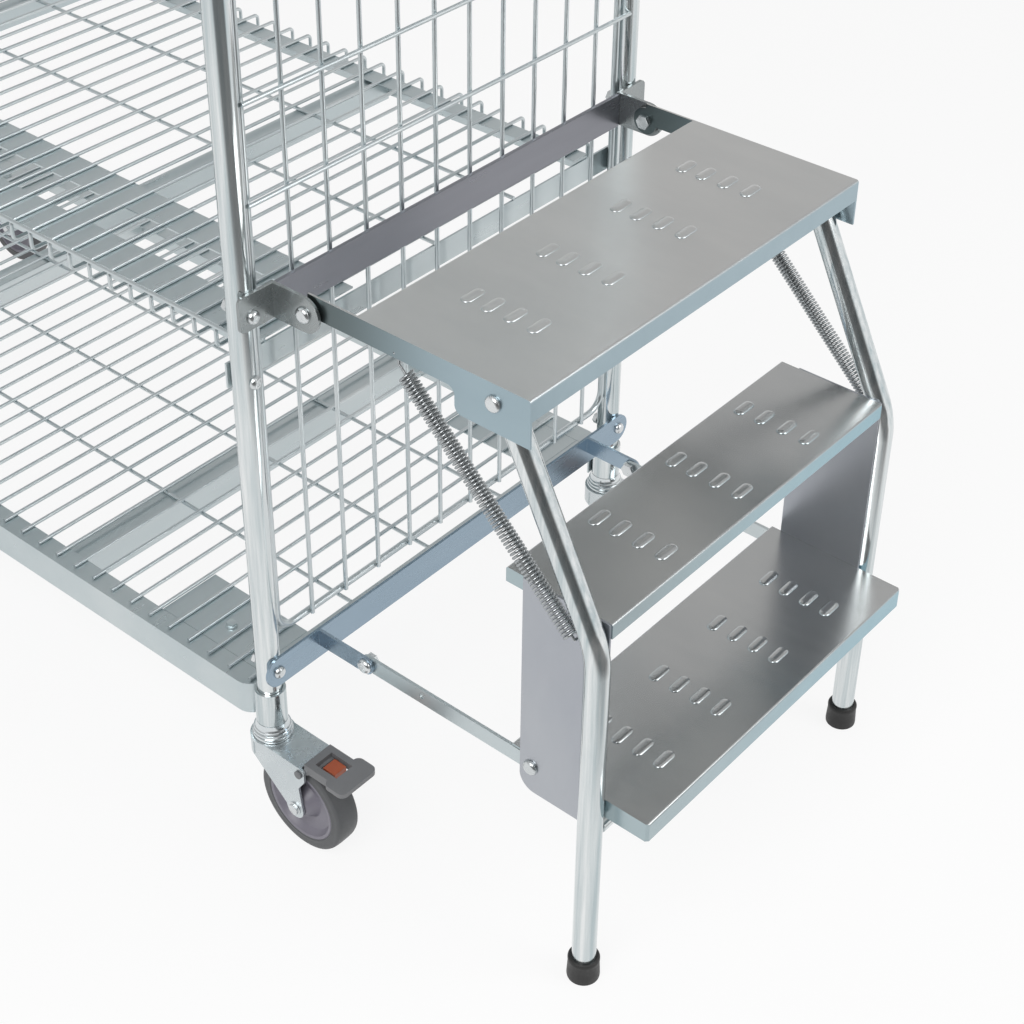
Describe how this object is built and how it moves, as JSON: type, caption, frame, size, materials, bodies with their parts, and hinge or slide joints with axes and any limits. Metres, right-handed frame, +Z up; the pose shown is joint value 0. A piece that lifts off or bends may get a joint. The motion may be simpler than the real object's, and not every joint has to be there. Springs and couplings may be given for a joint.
{
  "type": "order picking trolley",
  "caption": "Order picking trolley with wire shelves between mesh ends, swivel castors, and fold-up steps with a standing platform at one end.",
  "frame": {"origin": "middle of the trolley's length and width, on the floor", "axes": "+X along the trolley towards the steps, +Y across it, +Z up"},
  "size_m": [1.7966, 0.6652, 1.504],
  "materials": {
    "bright_zinc": "bright zinc plating on steel tube and wire",
    "zinc_sheet": "zinc plated folded sheet, slightly blue",
    "satin_sheet": "satin galvanised sheet, warm grey",
    "dark_paint": "dark grey satin coating",
    "bolts": "zinc plated fasteners",
    "fork_zinc": "zinc plated pressed steel",
    "hub_plastic": "grey moulded plastic",
    "tyre": "dark grey rubber tread",
    "pedal_plastic": "grey moulded plastic",
    "lever_plastic": "red orange moulded plastic",
    "foot_rubber": "black moulded rubber",
    "spring_steel": "bright spring wire"
  },
  "bodies": {
    "trolley": {"post_steps_near": "bright_zinc", "post_steps_far": "bright_zinc", "post_rear_near": "bright_zinc", "post_rear_far": "bright_zinc", "top_bow_steps": "bright_zinc", "top_bow_rear": "bright_zinc", "steps_end_mesh": "bright_zinc", "rear_end_mesh": "bright_zinc", "bottom_side_rail_near": "zinc_sheet", "bottom_side_rail_far": "zinc_sheet", "bottom_end_rails": "zinc_sheet", "bottom_cross_members": "zinc_sheet", "bottom_wires": "bright_zinc", "corner_sockets": "bright_zinc", "castor_heads": "bright_zinc", "middle_slotted_strip": "zinc_sheet", "middle_far_strip": "zinc_sheet", "middle_cross_members": "zinc_sheet", "middle_wires": "bright_zinc", "upper_shelf_frame": "zinc_sheet", "upper_wires": "bright_zinc", "crossbar": "dark_paint", "platform_brackets": "bright_zinc", "lower_end_rail": "zinc_sheet", "frame_bolts": "bolts"},
    "castor_steps_near": {"castor_fork_steps_near": "fork_zinc", "castor_axle_steps_near": "bolts"},
    "wheel_steps_near": {"castor_hub_steps_near": "hub_plastic", "castor_tyre_steps_near": "tyre"},
    "pedal_near": {"brake_pedal_near": "pedal_plastic"},
    "lever_near": {"release_lever_near": "lever_plastic"},
    "castor_steps_far": {"castor_fork_steps_far": "fork_zinc", "castor_axle_steps_far": "bolts"},
    "wheel_steps_far": {"castor_hub_steps_far": "hub_plastic", "castor_tyre_steps_far": "tyre"},
    "pedal_far": {"brake_pedal_far": "pedal_plastic"},
    "lever_far": {"release_lever_far": "lever_plastic"},
    "castor_rear_near": {"castor_fork_rear_near": "fork_zinc", "castor_axle_rear_near": "bolts"},
    "wheel_rear_near": {"castor_hub_rear_near": "hub_plastic", "castor_tyre_rear_near": "tyre"},
    "castor_rear_far": {"castor_fork_rear_far": "fork_zinc", "castor_axle_rear_far": "bolts"},
    "wheel_rear_far": {"castor_hub_rear_far": "hub_plastic", "castor_tyre_rear_far": "tyre"},
    "platform": {"platform": "satin_sheet", "platform_pivot_bolts": "bolts"},
    "step_frame": {"step_leg_near": "bright_zinc", "step_leg_far": "bright_zinc", "side_plate_near": "satin_sheet", "side_plate_far": "satin_sheet", "tread_middle": "satin_sheet", "tread_lower": "satin_sheet", "step_cross_bar": "bright_zinc", "rubber_feet": "foot_rubber", "link_pivot_bolts": "bolts"},
    "link_near": {"link_near": "bright_zinc"},
    "spring_near": {"spring_near": "spring_steel"},
    "link_far": {"link_far": "bright_zinc"},
    "spring_far": {"spring_far": "spring_steel"}
  },
  "joints": [
    {"name": "castor_swivel_steps_near", "type": "hinge", "parent": "trolley", "child": "castor_steps_near", "pos_m": [0.4277, -0.3046, 0.132], "axis": [0, 0, 1], "continuous": true},
    {"name": "wheel_spin_steps_near", "type": "hinge", "parent": "castor_steps_near", "child": "wheel_steps_near", "pos_m": [0.4817, -0.3046, 0.0625], "axis": [0, 1, 0], "continuous": true},
    {"name": "brake_pedal_near", "type": "hinge", "parent": "castor_steps_near", "child": "pedal_near", "pos_m": [0.4917, -0.3046, 0.122], "axis": [0, 1, 0], "range_deg": [0, 15]},
    {"name": "release_lever_near", "type": "hinge", "parent": "pedal_near", "child": "lever_near", "pos_m": [0.5157, -0.3046, 0.13], "axis": [0, 1, 0], "range_deg": [0, 12], "stiffness_Nm_per_rad": 0.02, "springref_deg": -5.73},
    {"name": "castor_swivel_steps_far", "type": "hinge", "parent": "trolley", "child": "castor_steps_far", "pos_m": [0.4277, 0.3046, 0.132], "axis": [0, 0, 1], "continuous": true},
    {"name": "wheel_spin_steps_far", "type": "hinge", "parent": "castor_steps_far", "child": "wheel_steps_far", "pos_m": [0.4817, 0.3046, 0.0625], "axis": [0, 1, 0], "continuous": true},
    {"name": "brake_pedal_far", "type": "hinge", "parent": "castor_steps_far", "child": "pedal_far", "pos_m": [0.4917, 0.3046, 0.122], "axis": [0, 1, 0], "range_deg": [0, 15]},
    {"name": "release_lever_far", "type": "hinge", "parent": "pedal_far", "child": "lever_far", "pos_m": [0.5157, 0.3046, 0.13], "axis": [0, 1, 0], "range_deg": [0, 12], "stiffness_Nm_per_rad": 0.02, "springref_deg": -5.73},
    {"name": "castor_swivel_rear_near", "type": "hinge", "parent": "trolley", "child": "castor_rear_near", "pos_m": [-0.8723, -0.3046, 0.132], "axis": [0, 0, 1], "continuous": true},
    {"name": "wheel_spin_rear_near", "type": "hinge", "parent": "castor_rear_near", "child": "wheel_rear_near", "pos_m": [-0.8183, -0.3046, 0.0625], "axis": [0, 1, 0], "continuous": true},
    {"name": "castor_swivel_rear_far", "type": "hinge", "parent": "trolley", "child": "castor_rear_far", "pos_m": [-0.8723, 0.3046, 0.132], "axis": [0, 0, 1], "continuous": true},
    {"name": "wheel_spin_rear_far", "type": "hinge", "parent": "castor_rear_far", "child": "wheel_rear_far", "pos_m": [-0.8183, 0.3046, 0.0625], "axis": [0, 1, 0], "continuous": true},
    {"name": "steps_fold", "type": "hinge", "parent": "trolley", "child": "platform", "pos_m": [0.4871, 0, 0.6965], "axis": [0, -1, 0], "range_deg": [0, 70], "deforming": ["spring_near", "spring_far"]},
    {"name": "step_frame_turn", "type": "hinge", "parent": "platform", "child": "step_frame", "pos_m": [0.7217, 0, 0.6965], "axis": [0, -1, 0], "range_deg": [-70, 0]},
    {"name": "link_turn_near", "type": "hinge", "parent": "trolley", "child": "link_near", "pos_m": [0.516, -0.2363, 0.2385], "axis": [0, -1, 0], "range_deg": [0, 70]},
    {"name": "spring_turn_near", "type": "hinge", "parent": "platform", "child": "spring_near", "pos_m": [0.5995, -0.262, 0.698], "axis": [0, -1, 0], "range_deg": [-63.43, 0]},
    {"name": "link_turn_far", "type": "hinge", "parent": "trolley", "child": "link_far", "pos_m": [0.516, 0.2363, 0.2385], "axis": [0, -1, 0], "range_deg": [0, 70]},
    {"name": "spring_turn_far", "type": "hinge", "parent": "platform", "child": "spring_far", "pos_m": [0.5995, 0.262, 0.698], "axis": [0, -1, 0], "range_deg": [-63.43, 0]}
  ],
  "couplings": [
    {"joint": "step_frame_turn", "follows": "steps_fold", "ratio": -1},
    {"joint": "link_turn_near", "follows": "steps_fold", "ratio": 1},
    {"joint": "spring_turn_near", "follows": "steps_fold", "ratio": -0.90596},
    {"joint": "link_turn_far", "follows": "steps_fold", "ratio": 1},
    {"joint": "spring_turn_far", "follows": "steps_fold", "ratio": -0.90596}
  ]
}
